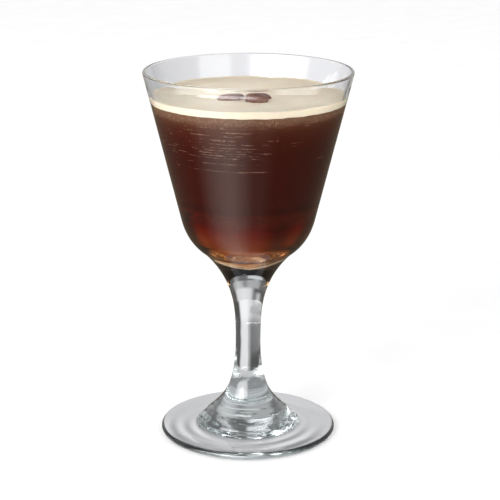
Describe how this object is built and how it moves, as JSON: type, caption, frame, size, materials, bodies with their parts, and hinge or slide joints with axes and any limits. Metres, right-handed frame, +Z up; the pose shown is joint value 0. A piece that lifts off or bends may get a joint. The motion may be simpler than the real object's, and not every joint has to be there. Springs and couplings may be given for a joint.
{
  "type": "espresso martini",
  "caption": "Dark coffee cocktail with a pale foam top and floating coffee beans, served in a clear stemmed glass with a flared bowl and a round domed foot.",
  "frame": {"origin": "centre of the underside of the foot, on the surface that the glass stands on", "axes": "+Z up along the stem, -Y towards the camera, where the two larger beans float, +X to the right in the picture"},
  "size_m": [0.08, 0.08, 0.1443],
  "materials": {
    "clear_glass": "clear pressed glass, smooth and shiny, faintly green where thick",
    "coffee_drink": "dark red-brown liquid, amber where thin",
    "pale_foam": "dense cream-coloured foam, matt",
    "roasted_bean": "dark roasted bean skin with a slight oily sheen"
  },
  "bodies": {
    "root": {"glass": "clear_glass", "drink": "coffee_drink", "foam": "pale_foam", "bean_right": "roasted_bean", "bean_left": "roasted_bean", "bean_back": "roasted_bean"}
  },
  "joints": []
}
